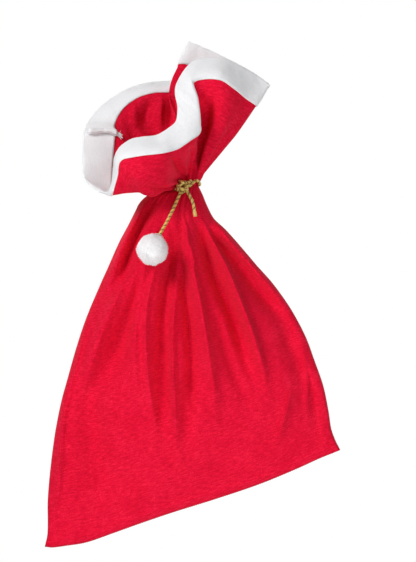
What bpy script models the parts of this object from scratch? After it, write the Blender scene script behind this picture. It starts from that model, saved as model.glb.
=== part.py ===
"""Fabric gift sack, gathered and tied at the neck, hanging from where a hand holds it.

The origin is the centre of the tied neck. +Z is up, the front is -Y and +X is to the viewer's right.
Two panels of red cloth run from the bottom seam, through the neck, to a flared mouth trimmed with a
white band. The panels are cut at the neck into body, neck and collar, because cloth bends there:
the body and the mouth each swing about the neck's front-to-back axis. A gold cord is tied round the
neck, and one of its ends carries a pompom.
"""

import math

import bmesh
import bpy
from mathutils import Vector

MM = 0.001

# Cloth
CLOTH = 1.5 * MM  # thickness of the red cloth
BAND = 2.4 * MM  # the white band is two layers
SEAM_GAP = 0.3 * MM  # between pieces that touch
THREAD_R = 0.5 * MM

# The tied neck
NECK_HALF_X = 25 * MM
NECK_HALF_Y = 21 * MM
NECK_HALF_Z = 17 * MM
NECK_CHANNEL_R = 7 * MM  # the gathers leave this hole down the middle
NECK_PLEATS = 14
NECK_PLEAT_DEPTH = 0.06  # share of the neck's radius
SWING_R = 38 * MM  # body and collar start at this distance from the swing axis
SWING_HALF_Y = 24 * MM
BODY_ARC = (-70, 45)  # degrees from straight down, left to right
COLLAR_ARC = (-65, 45)  # degrees from straight up, left to right

# The body's outline, seen from the front: (x, z) in millimetres, from the neck to the corners
LEFT_OUTLINE = (
    (-60, -12), (-85, -30), (-128, -103), (-175, -209), (-210, -312),
    (-237, -404), (-257, -529), (-266, -610), (-265, -655), (-270, -692),
)
RIGHT_OUTLINE = (
    (54, -56), (118, -120), (156, -158), (205, -230), (246, -320), (275, -417), (281, -458), (300, -504),
)
BOTTOM_SEAM = ((-190, -679), (-138, -661), (-64, -637), (28, -606), (166, -561), (232, -532))
BELLY = 62 * MM  # how far the body bulges each way at its fullest

# The mouth, as columns of cloth from the left side seam to the right one. Each column has three
# points, (x, y, z) in millimetres: halfway up the collar, where the band is sewn on, and the rim.
LEFT_SEAM = ((-92, 32, 42), (-134, 28, 108), (-194, 10, 110))
RIGHT_SEAM = ((85, -2, 86), (137, -5, 159), (165, 22, 202))
FRONT_MOUTH = (
    LEFT_SEAM,
    ((-96, 8, 30), (-137, 5, 62), (-195, -8, 68)),
    ((-96, -20, 10), (-142, -40, 8), (-192, -42, 29)),
    ((-92, -48, -5), (-133, -92, 10), (-170, -78, 46)),
    ((-86, -70, -7), (-124, -134, 56), (-139, -96, 79)),
    ((-68, -84, -2), (-85, -143, 66), (-97, -102, 101)),
    ((-42, -82, 14), (-40, -136, 72), (-46, -97, 110)),
    ((-10, -62, 42), (-2, -116, 88), (-15, -90, 134)),
    ((14, -54, 58), (31, -98, 114), (-17, -84, 163)),
    ((26, -38, 78), (26, -68, 158), (-17, -84, 185)),
    ((36, -34, 92), (17, -44, 202), (-13, -82, 213)),
    ((52, -42, 100), (48, -58, 218), (30, -45, 248)),
    ((68, -36, 96), (83, -52, 201), (92, -14, 240)),
    RIGHT_SEAM,
)
BACK_MOUTH = (
    LEFT_SEAM,
    ((-94, 46, 60), (-128, 40, 130), (-159, 62, 155)),
    ((-82, 56, 80), (-113, 50, 152), (-126, 90, 188)),
    ((-62, 64, 92), (-82, 58, 178), (-87, 112, 200)),
    ((-38, 66, 96), (-45, 66, 188), (-47, 120, 206)),
    ((-16, 60, 98), (-22, 78, 178), (-14, 122, 216)),
    ((0, 44, 108), (-16, 50, 210), (0, 84, 254)),
    ((16, 30, 112), (-6, 14, 240), (7, 48, 283)),
    ((50, 24, 100), (66, 20, 190), (84, 36, 244)),
    RIGHT_SEAM,
)
MOUTH_COLUMNS = 30
BAND_ROWS = 8  # the topstitch runs one row up from the band's seam
BAND_START = 0.75  # share of the collar's height at which the band is sewn on

TAB_HALF_WIDTH = 6.5 * MM
TAB_HALF_THICKNESS = 1.8 * MM
TAB_CLEAR = 3 * MM
TAB_EDGE_CLEAR = 10 * MM

# The gold cord
CORD_R = 3.2 * MM
LOOP_TILT = math.radians(12)  # the loop rises to the right
LOOP_CLEAR = 0.3 * MM  # from the crests of the neck's pleats
KNOT_SHARE = 26  # degrees of the loop, each side of straight ahead, that the knot takes up
KNOT_CENTRE = Vector((-3, -33.3, 4)) * MM
KNOT_HALF = Vector((13, 10.5, 13)) * MM
TAIL_CLEAR = 13.1 * MM  # the tails start at this distance from the knot's centre
POMPOM_R = 31 * MM
POMPOM_CENTRE = Vector((-60, -85, -117)) * MM
POMPOM_DISH = 6.5 * MM  # the hollow where the cord's end turns
CORD_END_R = 5 * MM
BINDING_RING = 9 * MM
SHORT_TAIL_ROUTE = ((5.6, -37.6, -6.2), (11, -42, -16), (16, -45, -28), (19, -46, -45))
WHIPPING_R = 4.0 * MM
WHIPPING_LENGTH = 8 * MM


def clear_scene():
    for obj in list(bpy.data.objects):
        bpy.data.objects.remove(obj)


def make_material(name, colour, roughness, metallic=0.0):
    material = bpy.data.materials.new(name)
    material.use_nodes = True
    shader = material.node_tree.nodes["Principled BSDF"]
    shader.inputs["Base Color"].default_value = (*colour, 1)
    shader.inputs["Roughness"].default_value = roughness
    shader.inputs["Metallic"].default_value = metallic
    return material


def spline(points, u):
    """The point at u, 0 to 1, on a Catmull-Rom curve through the points, evenly by their number."""
    spans = len(points) - 1
    i = min(int(u * spans), spans - 1)
    f = u * spans - i
    a = points[i - 1] if i else points[0] * 2 - points[1]
    b, c = points[i], points[i + 1]
    d = points[i + 2] if i + 2 <= spans else points[-1] * 2 - points[-2]
    return 0.5 * (2 * b + (c - a) * f + (2 * a - 5 * b + 4 * c - d) * f**2 + (3 * b - a - 3 * c + d) * f**3)


def even(points, count=80):
    """Points evenly spaced along the curve through the given ones."""
    fine = [spline(points, k / 400) for k in range(401)]
    along = [0.0]
    for a, b in zip(fine, fine[1:]):
        along.append(along[-1] + (b - a).length)
    found, k = [], 0
    for n in range(count + 1):
        want = along[-1] * n / count
        while k < 399 and along[k + 1] < want:
            k += 1
        share = (want - along[k]) / max(along[k + 1] - along[k], 1e-12)
        found.append(fine[k].lerp(fine[k + 1], min(share, 1)))
    return found


def arc_point(degrees, up):
    """A point of the circle round the swing axis, in the front view, measured from straight up or down."""
    a = math.radians(degrees)
    return Vector((math.sin(a), 0, math.cos(a) if up else -math.cos(a))) * SWING_R


def flat_points(pairs):
    return [Vector((x, 0, z)) * MM for x, z in pairs]


def finish(name, mesh_or_curve, material, location=None):
    obj = bpy.data.objects.new(name, mesh_or_curve)
    bpy.context.scene.collection.objects.link(obj)
    obj.data.materials.append(material)
    if location is not None:
        obj.location = location
    return obj


def mesh_of(name, bm, smooth=True):
    bmesh.ops.recalc_face_normals(bm, faces=bm.faces)
    mesh = bpy.data.meshes.new(name)
    bm.to_mesh(mesh)
    bm.free()
    if smooth:
        mesh.shade_smooth()
        mesh.set_sharp_from_angle(angle=math.radians(50))
    return mesh


def stand_off(surface, s, t, distance, outward):
    """The point this far out from surface(s, t). The outward side is 1 or -1 times the cross product
    of the surface's two directions."""
    step = 1e-3
    along_s = surface(min(s + step, 1), t) - surface(max(s - step, 0), t)
    along_t = surface(s, min(t + step, 1)) - surface(s, max(t - step, 0))
    return surface(s, t) + along_s.cross(along_t).normalized() * outward * distance


def sheet(name, surface, columns, rows, thickness, material, outward):
    """A sheet of cloth as a closed solid. surface(s, t) is its inner face."""
    bm = bmesh.new()
    inner, outer = [], []
    for j in range(rows + 1):
        for i in range(columns + 1):
            s, t = i / columns, j / rows
            inner.append(bm.verts.new(surface(s, t)))
            outer.append(bm.verts.new(stand_off(surface, s, t, thickness, outward)))
    wide = columns + 1
    for j in range(rows):
        for i in range(columns):
            corners = (j * wide + i, j * wide + i + 1, (j + 1) * wide + i + 1, (j + 1) * wide + i)
            bm.faces.new([inner[k] for k in corners])
            bm.faces.new([outer[k] for k in reversed(corners)])
    edge = [(0, i) for i in range(wide)] + [(j, columns) for j in range(1, rows + 1)]
    edge += [(rows, i) for i in range(columns - 1, -1, -1)] + [(j, 0) for j in range(rows - 1, 0, -1)]
    ring = [j * wide + i for j, i in edge]
    for a, b in zip(ring, ring[1:] + ring[:1]):
        bm.faces.new((inner[b], inner[a], outer[a], outer[b]))
    return finish(name, mesh_of(name, bm), material)


def tube(name, points, radius, material, sides=2):
    """A round cord or thread along the points, with closed ends."""
    curve = bpy.data.curves.new(name, "CURVE")
    curve.dimensions = "3D"
    curve.bevel_depth = radius
    curve.bevel_resolution = sides
    curve.use_fill_caps = True
    route = curve.splines.new("POLY")
    route.points.add(len(points) - 1)
    for target, point in zip(route.points, points):
        target.co = (*point, 1)
    return finish(name, curve, material)


class Body:
    """The sack below the neck: a patch between four outlines, bulged to the front and the back."""

    def __init__(self):
        start, end = (arc_point(a, up=False) for a in BODY_ARC)
        self.left = even([start, *flat_points(LEFT_OUTLINE)])
        self.right = even([end, *flat_points(RIGHT_OUTLINE)])
        corners = (self.left[-1], self.right[-1])
        self.bottom = even([corners[0], *flat_points(BOTTOM_SEAM), corners[1]])
        self.top = even([arc_point(BODY_ARC[0] + (BODY_ARC[1] - BODY_ARC[0]) * k / 8, up=False) for k in range(9)])

    def depth(self, s, t):
        across = 4 * s * (1 - s)
        neck = SWING_HALF_Y * (1 - t) ** 3 * across**0.5
        belly = BELLY * across**0.62 * (t**0.7 * (1 - t) ** 0.55) / 0.49
        return neck + belly

    def surface(self, side):
        """side is -1 for the front panel and 1 for the back one."""

        def at(s, t):
            left, right = spline(self.left, t), spline(self.right, t)
            top, bottom = spline(self.top, s), spline(self.bottom, s)
            edges = left.lerp(right, s) + top.lerp(bottom, t)
            corners = self.top[0].lerp(self.top[-1], s).lerp(self.bottom[0].lerp(self.bottom[-1], s), t)
            point = edges - corners
            point.y = side * (SEAM_GAP + self.depth(s, t))
            return point

        return at


def mouth_surface(columns, low, high):
    """The collar and band over a stretch of their height, from the neck at 0 to the rim at 1."""
    rows = [[Vector(column[k]) * MM for column in columns] for k in range(3)]
    side = -1 if columns is FRONT_MOUTH else 1
    count = len(columns) - 1
    neck = []
    for i in range(count + 1):
        degrees = COLLAR_ARC[0] + (COLLAR_ARC[1] - COLLAR_ARC[0]) * i / count
        point = arc_point(degrees, up=True)
        point.y = side * SWING_HALF_Y * max(math.sin(math.pi * i / count), 0) ** 0.6
        neck.append(point)
    inset = 0.0016  # keeps the front and back apart at the side seams

    def at(s, t):
        s = inset + s * (1 - 2 * inset)
        height = low + t * (high - low)
        profile = [spline(row, s) for row in (neck, *rows)]
        # belly and junction lie at 0.37 and BAND_START of the height, so the height is bent to suit
        knots = (0, 0.37, BAND_START, 1)
        k = max(i for i in range(3) if height >= knots[i] or i == 0)
        u = (k + (height - knots[k]) / (knots[k + 1] - knots[k])) / 3
        return spline(profile, min(u, 1))

    return at


def make_body(red, thread):
    body = Body()
    for side, name in ((-1, "front_panel_body"), (1, "back_panel_body")):
        sheet(name, body.surface(side), 16, 20, CLOTH, red, side)
    clear = CLOTH + SEAM_GAP + THREAD_R
    for name, line, outside in (
        ("left_side_seam_thread", body.left, Vector((-1, 0, 0))),
        ("right_side_seam_thread", body.right, Vector((1, 0, 0))),
        ("bottom_seam_thread", body.bottom, Vector((0, 0, -1))),
    ):
        points = []
        for k in range(6, len(line) - 3, 4):
            along = (line[k + 1] - line[k - 1]).normalized()
            across = Vector((along.z, 0, -along.x))
            across *= math.copysign(1, across.dot(outside))
            points.append(line[k] + across * clear)
        tube(name, points, THREAD_R, thread, sides=1)


def neck_radius(angle):
    wave = 1 + NECK_PLEAT_DEPTH * math.cos(NECK_PLEATS * angle)
    return Vector((NECK_HALF_X * wave * math.cos(angle), NECK_HALF_Y * wave * math.sin(angle)))


def make_neck(red):
    """The gathered neck: a fluted half ring of each panel, with a hole down the middle."""
    steps = 56
    for name, first in (("front_panel_neck", math.pi), ("back_panel_neck", 0)):
        bm = bmesh.new()
        rings = []
        side = -1 if first else 1
        for z in (-NECK_HALF_Z, NECK_HALF_Z):
            outline = []
            for k in range(steps + 1):
                a = first + math.pi * k / steps
                x, y = neck_radius(a)
                outline.append((x, y if side * y > SEAM_GAP else side * SEAM_GAP, z))
            for k in range(13):
                a = first + math.pi * (1 - k / 12)
                x, y = NECK_CHANNEL_R * math.cos(a), NECK_CHANNEL_R * math.sin(a)
                outline.append((x, y if side * y > SEAM_GAP else side * SEAM_GAP, z))
            rings.append([bm.verts.new(p) for p in outline])
        low, high = rings
        bm.faces.new(low)
        bm.faces.new(list(reversed(high)))
        for k in range(len(low)):
            j = (k + 1) % len(low)
            bm.faces.new((low[j], low[k], high[k], high[j]))
        bmesh.ops.triangulate(bm, faces=[f for f in bm.faces if len(f.verts) > 4])
        finish(name, mesh_of(name, bm), red)


def make_mouth(red, white, thread):
    for columns, side, word in ((FRONT_MOUTH, -1, "front"), (BACK_MOUTH, 1, "back")):
        gap = 0.007  # share of the height left open between collar and band
        collar = mouth_surface(columns, 0, BAND_START - gap)
        sheet(f"{word}_panel_collar", collar, MOUTH_COLUMNS, 8, CLOTH, red, -side)
        band = mouth_surface(columns, BAND_START, 1)
        sheet(f"{word}_trim_band", band, MOUTH_COLUMNS, BAND_ROWS, BAND, white, -side)
        clear = BAND + SEAM_GAP + THREAD_R
        points = [
            stand_off(band, k / MOUTH_COLUMNS, 1 / BAND_ROWS, clear, -side) for k in range(1, MOUTH_COLUMNS)
        ]
        tube(f"{word}_band_topstitch", points, THREAD_R, thread, sides=1)


def make_seam_tab(name, seam, inward, on_edge, white):
    """The turned-in ends of the band, sewn together into a tab inside a side seam. It lies against the
    band, or stands on edge where the two bands meet too sharply for that."""
    junction, rim = Vector(seam[1]) * MM, Vector(seam[2]) * MM
    along = (rim - junction).normalized()
    inward = (inward - along * inward.dot(along)).normalized()
    across = along.cross(inward)
    wide, thin = (inward, across) if on_edge else (across, inward)
    lift = TAB_EDGE_CLEAR + TAB_HALF_WIDTH if on_edge else TAB_CLEAR + TAB_HALF_THICKNESS
    bm = bmesh.new()
    rings = []
    for point in (junction.lerp(rim, 0.05), junction.lerp(rim, 0.95)):
        ring = []
        for k in range(12):
            a = 2 * math.pi * k / 12
            reach = wide * TAB_HALF_WIDTH * math.cos(a) + thin * TAB_HALF_THICKNESS * math.sin(a)
            ring.append(bm.verts.new(point + inward * lift + reach))
        rings.append(ring)
    bm.faces.new(rings[0])
    bm.faces.new(list(reversed(rings[1])))
    for k in range(12):
        j = (k + 1) % 12
        bm.faces.new((rings[0][j], rings[0][k], rings[1][k], rings[1][j]))
    finish(name, mesh_of(name, bm), white)


def make_loop(gold):
    """The cord's turn round the neck, from one side of the knot to the other."""
    half_x = NECK_HALF_X * (1 + NECK_PLEAT_DEPTH) + CORD_R + LOOP_CLEAR
    half_y = NECK_HALF_Y * (1 + NECK_PLEAT_DEPTH) + CORD_R + LOOP_CLEAR
    points = []
    for k in range(41):
        a = math.radians(-90 + KNOT_SHARE + (360 - 2 * KNOT_SHARE) * k / 40)
        x = half_x * math.cos(a)
        points.append(Vector((x, half_y * math.sin(a), x * math.tan(LOOP_TILT))))
    tube("neck_cord_loop", points, CORD_R, gold)


def ball(name, centre, half, material, segments=20, rings=12):
    bm = bmesh.new()
    bmesh.ops.create_uvsphere(bm, u_segments=segments, v_segments=rings, radius=1)
    bmesh.ops.scale(bm, vec=half, verts=bm.verts)
    return finish(name, mesh_of(name, bm), material, centre)


def make_knot(gold):
    ball("cord_knot", KNOT_CENTRE, KNOT_HALF, gold)
    points = even([Vector(p) * MM for p in SHORT_TAIL_ROUTE], 4)
    tube("short_cord_tail", points, CORD_R, gold)
    along = (points[-1] - points[-2]).normalized()
    start = points[-1] + along * SEAM_GAP
    tube("short_tail_whipping", [start, start + along * WHIPPING_LENGTH], WHIPPING_R, gold)


def make_pompom(gold, white):
    towards = (POMPOM_CENTRE - KNOT_CENTRE).normalized()
    pole = POMPOM_CENTRE - towards * POMPOM_R
    start = KNOT_CENTRE + towards * TAIL_CLEAR
    end = pole - towards * (CORD_END_R + SEAM_GAP)
    tube("cord_tail", [start.lerp(end, k / 5) for k in range(6)], CORD_R, gold)
    ball("cord_end_knot", pole, Vector((1, 1, 1)) * CORD_END_R, gold, 12, 8)

    pile = ball("pompom_pile", POMPOM_CENTRE, Vector((1, 1, 1)) * POMPOM_R, white, 24, 16)
    pile.rotation_mode = "QUATERNION"
    pile.rotation_quaternion = (-towards).to_track_quat("Z", "Y")
    dish = ball("pompom_dish_cutter", pole, Vector((1, 1, 1)) * POMPOM_DISH, white, 16, 10)
    dish.hide_render = True
    dish.display_type = "WIRE"
    cut = pile.modifiers.new("dish", "BOOLEAN")
    cut.operation = "DIFFERENCE"
    cut.object = dish

    drop = POMPOM_R - math.sqrt(POMPOM_R**2 - BINDING_RING**2)
    bpy.ops.mesh.primitive_torus_add(
        major_radius=BINDING_RING, minor_radius=THREAD_R, major_segments=24, minor_segments=6,
        location=pole + towards * (drop - THREAD_R - SEAM_GAP),
    )
    ring = bpy.context.active_object
    ring.name = "pompom_binding_thread"
    ring.rotation_mode = "QUATERNION"
    ring.rotation_quaternion = (-towards).to_track_quat("Z", "Y")
    ring.data.materials.append(white)
    ring.data.shade_smooth()


def main():
    clear_scene()
    red = make_material("red_cloth", (0.72, 0.01, 0.04), 0.85)
    white = make_material("white_cloth", (0.86, 0.87, 0.9), 0.8)
    gold = make_material("gold_cord", (0.75, 0.55, 0.2), 0.35, 0.7)
    red_thread = make_material("red_thread", (0.6, 0.01, 0.03), 0.6)
    white_thread = make_material("white_thread", (0.9, 0.9, 0.9), 0.6)
    pile = make_material("white_pile", (0.92, 0.91, 0.93), 0.95)
    make_body(red, red_thread)
    make_neck(red)
    make_mouth(red, white, white_thread)
    make_seam_tab("left_band_seam_tab", LEFT_SEAM, Vector((0.2, -0.7, 0.5)), False, white)
    make_seam_tab("right_band_seam_tab", RIGHT_SEAM, Vector((-0.9, -0.1, 0.5)), True, white)
    make_loop(gold)
    make_knot(gold)
    make_pompom(gold, pile)


main()
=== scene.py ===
"""The looks of a red fabric gift sack, tied at the neck with a gold cord that carries a pompom.

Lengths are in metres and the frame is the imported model's: the origin is the centre of the tied neck,
+Z is up, the front faces -Y. Outlines and control points are written in millimetres, times MM.
"""

import math

import bmesh
import bpy
import numpy as np
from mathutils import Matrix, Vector


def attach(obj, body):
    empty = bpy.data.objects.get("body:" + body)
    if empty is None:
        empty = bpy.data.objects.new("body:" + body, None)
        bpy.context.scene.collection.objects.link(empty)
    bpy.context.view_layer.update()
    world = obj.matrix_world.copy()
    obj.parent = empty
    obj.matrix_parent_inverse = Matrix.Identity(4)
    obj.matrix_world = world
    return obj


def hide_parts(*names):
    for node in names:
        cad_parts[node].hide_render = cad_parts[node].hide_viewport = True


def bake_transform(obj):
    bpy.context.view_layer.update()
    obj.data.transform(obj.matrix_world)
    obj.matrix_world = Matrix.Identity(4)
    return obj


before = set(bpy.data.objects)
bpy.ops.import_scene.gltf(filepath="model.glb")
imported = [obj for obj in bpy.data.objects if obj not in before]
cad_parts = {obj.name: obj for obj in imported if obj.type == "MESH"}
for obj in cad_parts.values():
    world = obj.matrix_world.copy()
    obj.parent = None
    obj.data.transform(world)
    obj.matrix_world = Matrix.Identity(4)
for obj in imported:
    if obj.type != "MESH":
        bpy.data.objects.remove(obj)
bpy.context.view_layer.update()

MM = 0.001
TAU = 2 * math.pi
EYE = np.array((44.5, -3000, -176)) * MM  # the camera's place
RANDOM = np.random.default_rng(11)

# The cord's route, as the CAD solids have it
CORD_R = 3.2 * MM
KNOT_CENTRE = np.array((-3, -33.3, 4)) * MM
POMPOM_CENTRE = np.array((-60, -85, -117)) * MM
POMPOM_R = 31 * MM
TAIL_START_GAP = 13.1 * MM  # from the knot's centre to where the long tail leaves it
END_KNOT_R = 5 * MM
CORD_PITCH = 10 * MM  # the length of one turn of its strands
YARN_COUNT = 5200
SHORT_TAIL_ROUTE = np.array(((5.6, -37.6, -6.2), (11, -42, -16), (16, -45, -28), (19, -46, -45))) * MM

# Cloth
CLOTH = 1.3 * MM  # thickness
BAND_CLOTH = 1.0 * MM
ROUND_FLAT = 1.2  # all the way round the sack, laid flat
COLLAR_FLAT = 0.235  # from the cord up to the rim, laid flat
NECK_X = 25 * MM
NECK_Y = 20 * MM
LOOP_TILT = math.radians(17)  # the cord's loop rises to the right

# The body's outline in the front view, (x, z), from the neck to the bottom corners
LEFT_OUTLINE = np.array((
    (-25, -4), (-42, -3), (-58, -4), (-74, -12), (-88, -26), (-95, -40), (-109, -68),
    (-128, -104), (-147, -147), (-165, -187), (-191, -249), (-210, -306), (-227, -366),
    (-239, -410), (-251, -471), (-260, -540), (-265, -600), (-265, -643), (-266, -668),
    (-271, -690),
)) * MM
RIGHT_OUTLINE = np.array((
    (25, 8), (33, -8), (43, -32), (56, -56), (78, -77), (104, -106), (139, -147), (170, -182),
    (204, -230), (232, -282), (250, -330), (267, -379), (277, -427), (282, -460), (290, -483),
    (300, -503),
)) * MM
BOTTOM_SEAM = np.array((
    (-271, -690), (-256, -691), (-232, -688), (-190, -681), (-138, -663), (-85, -644),
    (-20, -622), (60, -597), (140, -570), (211, -541), (262, -518), (300, -503),
)) * MM


# ---------------- helpers

def catmull(points, u, closed=False):
    """Points on a Catmull-Rom curve through the first axis of points, at each u from 0 to 1."""
    points, u = np.asarray(points, float), np.asarray(u, float)
    count = len(points)
    spans = count if closed else count - 1
    x = u * spans
    i = np.clip(np.floor(x).astype(int), 0, spans - 1)
    f = (x - i).reshape(-1, *[1] * (points.ndim - 1))
    if closed:
        a, b, c, d = (points[(i + k) % count] for k in (-1, 0, 1, 2))
    else:
        ends = np.concatenate([[2 * points[0] - points[1]], points, [2 * points[-1] - points[-2]]])
        a, b, c, d = (ends[i + k] for k in (0, 1, 2, 3))
    square, cube = 2 * a - 5 * b + 4 * c - d, 3 * b - a - 3 * c + d
    return 0.5 * (2 * b + (c - a) * f + square * f**2 + cube * f**3)


def even(points, count, fine=2000):
    """Points evenly spaced along the smooth curve through the given ones."""
    line = catmull(points, np.linspace(0, 1, fine))
    along = np.concatenate([[0], np.cumsum(np.linalg.norm(np.diff(line, axis=0), axis=1))])
    want = np.linspace(0, along[-1], count)
    return np.stack([np.interp(want, along, line[:, k]) for k in range(line.shape[1])], axis=1)


def length_of(points):
    return float(np.linalg.norm(np.diff(points, axis=0), axis=1).sum())


def smoothstep(x, low, high):
    x = np.clip((x - low) / (high - low), 0, 1)
    return x * x * (3 - 2 * x)


def waves(x, y, scale, seed, octaves=3):
    """Smooth, seeded, uneven ripples of about unit height, as a sum of sines."""
    rng = np.random.default_rng(seed)
    total = np.zeros(np.broadcast(x, y).shape)
    for k in range(octaves):
        for _ in range(5):
            a = rng.uniform(0, TAU)
            turn = TAU / (scale / 1.9**k)
            phase = rng.uniform(0, 6.3)
            total += np.sin(turn * (x * math.cos(a) + y * math.sin(a)) + phase) / 1.9**k / 3
    return total


def beside(grid):
    """The left and the right neighbour of each point of a grid that closes on itself."""
    wide = np.concatenate([grid[:, -1:], grid, grid[:, :1]], axis=1)
    return wide[:, :-2], wide[:, 2:]


def outward(grid, centre, row=30):
    """Unit normals of a closed grid of points, shaped rows, columns, 3, away from a point inside."""
    left, right = beside(grid)
    n = np.cross((right - left) / 2, np.gradient(grid, axis=0))
    n /= np.maximum(np.linalg.norm(n, axis=2, keepdims=True), 1e-12)
    return -n if (n[row] * (grid[row] - centre)).sum() < 0 else n


def new_object(name, vertices, faces, material, uvs=None):
    mesh = bpy.data.meshes.new(name)
    mesh.from_pydata([tuple(v) for v in vertices], [], [tuple(int(i) for i in f) for f in faces])
    if uvs is not None:
        layer = mesh.uv_layers.new(name="UVMap")
        loops = np.array([loop.vertex_index for loop in mesh.loops])
        layer.data.foreach_set("uv", np.asarray(uvs, np.float32)[loops].ravel())
    mesh.materials.append(material)
    return linked(name, mesh)


def linked(name, mesh):
    """A smooth-shaded object of a mesh, in the scene."""
    mesh.shade_smooth()
    obj = bpy.data.objects.new(name, mesh)
    bpy.context.scene.collection.objects.link(obj)
    return obj


def grid_faces(rows, columns, flip=False):
    i = np.arange(rows - 1)[:, None] * columns + np.arange(columns - 1)[None, :]
    quads = np.stack([i, i + 1, i + columns + 1, i + columns], axis=-1).reshape(-1, 4)
    return quads[:, ::-1] if flip else quads


def ring_faces(rings, around, first_cap=True):
    """Faces of a tube whose points come ring by ring, with its ends closed."""
    faces = []
    for i in range(rings - 1):
        for k in range(around):
            j = (k + 1) % around
            faces.append((i * around + k, i * around + j, (i + 1) * around + j, (i + 1) * around + k))
    if first_cap:
        faces.append(tuple(reversed(range(around))))
    faces.append(tuple(range((rings - 1) * around, rings * around)))
    return faces


def grid_object(name, grid, uv_size, material, flip=False):
    """A sheet from a grid of points. uv_size is the flat cloth's width and length, in metres."""
    rows, columns = grid.shape[:2]
    v, u = np.meshgrid(np.linspace(0, uv_size[1], rows), np.linspace(0, uv_size[0], columns),
                       indexing="ij")
    uvs = np.stack([u, v], axis=-1).reshape(-1, 2)
    return new_object(name, grid.reshape(-1, 3), grid_faces(rows, columns, flip), material, uvs)


def thicken(obj, thickness):
    solid = obj.modifiers.new("thickness", "SOLIDIFY")
    solid.thickness = thickness
    solid.offset = 0.0


# ---------------- materials

def principled(name):
    material = bpy.data.materials.new(name)
    material.use_nodes = True
    return material, material.node_tree.nodes["Principled BSDF"]


def tune(node, **inputs):
    """Sets a node's own sockets. An underscore stands for a space in a socket's name."""
    for key, value in inputs.items():
        node.inputs[key.replace("_", " ")].default_value = value
    return node


def add(material, kind, **inputs):
    return tune(material.node_tree.nodes.new(kind), **inputs)


def wire(material, a, out, b, into):
    """Joins a's output to b's input, each given by name or number."""
    material.node_tree.links.new(a.outputs[out], b.inputs[into])


def maths(material, operation, a, out, b):
    """A math node. b is a number, or a node and the name of its output."""
    node = add(material, "ShaderNodeMath")
    node.operation = operation
    wire(material, a, out, node, 0)
    if isinstance(b, tuple):
        wire(material, b[0], b[1], node, 1)
    else:
        node.inputs[1].default_value = b
    return node


def colour_ramp(material, stops):
    ramp = add(material, "ShaderNodeValToRGB")
    while len(ramp.color_ramp.elements) < len(stops):
        ramp.color_ramp.elements.new(0.5)
    for element, (place, colour) in zip(ramp.color_ramp.elements, stops):
        element.position = place
        element.color = (*colour, 1)
    return ramp


def thread_waves(material, coordinates, pitch, direction):
    """Evenly spaced threads, a little uneven, as a 0 to 1 height."""
    wave = add(material, "ShaderNodeTexWave", Scale=1 / (math.pi * pitch), Distortion=1.2,
               Detail=1.0, Detail_Scale=6.0)
    wave.bands_direction = direction
    wave.wave_profile = "SIN"
    wire(material, coordinates, "UV", wave, "Vector")
    return wave


def cloth_material(name, dark, middle, light, pitch, weave, grain, roughness, sheen, sheen_tint):
    """Woven and brushed cloth: two sets of threads, fibres lying over them, and mottled colour."""
    material, shader = principled(name)
    uv = add(material, "ShaderNodeTexCoord")
    warp = thread_waves(material, uv, pitch, "X")
    weft = thread_waves(material, uv, pitch, "Y")
    threads = maths(material, "MULTIPLY", warp, "Fac", (weft, "Fac"))

    mottle = add(material, "ShaderNodeTexNoise", Scale=grain, Detail=6.0, Roughness=0.72)
    wire(material, uv, "Object", mottle, "Vector")
    slub_map = add(material, "ShaderNodeMapping", Scale=(75, 420, 1))
    wire(material, uv, "UV", slub_map, "Vector")
    slub = add(material, "ShaderNodeTexNoise", Scale=1.0, Detail=3.0, Roughness=0.6)
    wire(material, slub_map, "Vector", slub, "Vector")
    both = maths(material, "ADD", mottle, "Fac", (slub, "Fac"))
    half = maths(material, "MULTIPLY", both, "Value", 0.5)
    blotch = add(material, "ShaderNodeTexNoise", Scale=26.0, Detail=4.0, Roughness=0.65)
    wire(material, uv, "Object", blotch, "Vector")
    shade = add(material, "ShaderNodeMix", Factor=0.16)
    wire(material, half, "Value", shade, 2)
    wire(material, blotch, "Fac", shade, 3)
    ramp = colour_ramp(material, ((0.38, dark), (0.5, middle), (0.62, light)))
    wire(material, shade, "Result", ramp, "Fac")
    wire(material, ramp, "Color", shader, "Base Color")

    weave_bump = add(material, "ShaderNodeBump", Strength=weave, Distance=0.0006)
    wire(material, threads, "Value", weave_bump, "Height")
    fibre_bump = add(material, "ShaderNodeBump", Strength=0.36, Distance=0.0010)
    wire(material, half, "Value", fibre_bump, "Height")
    wire(material, weave_bump, "Normal", fibre_bump, "Normal")
    wire(material, fibre_bump, "Normal", shader, "Normal")

    tune(shader, Roughness=roughness, Specular_IOR_Level=0.09, Sheen_Weight=sheen,
         Sheen_Roughness=0.45, Sheen_Tint=(*sheen_tint, 1))
    return material


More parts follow.
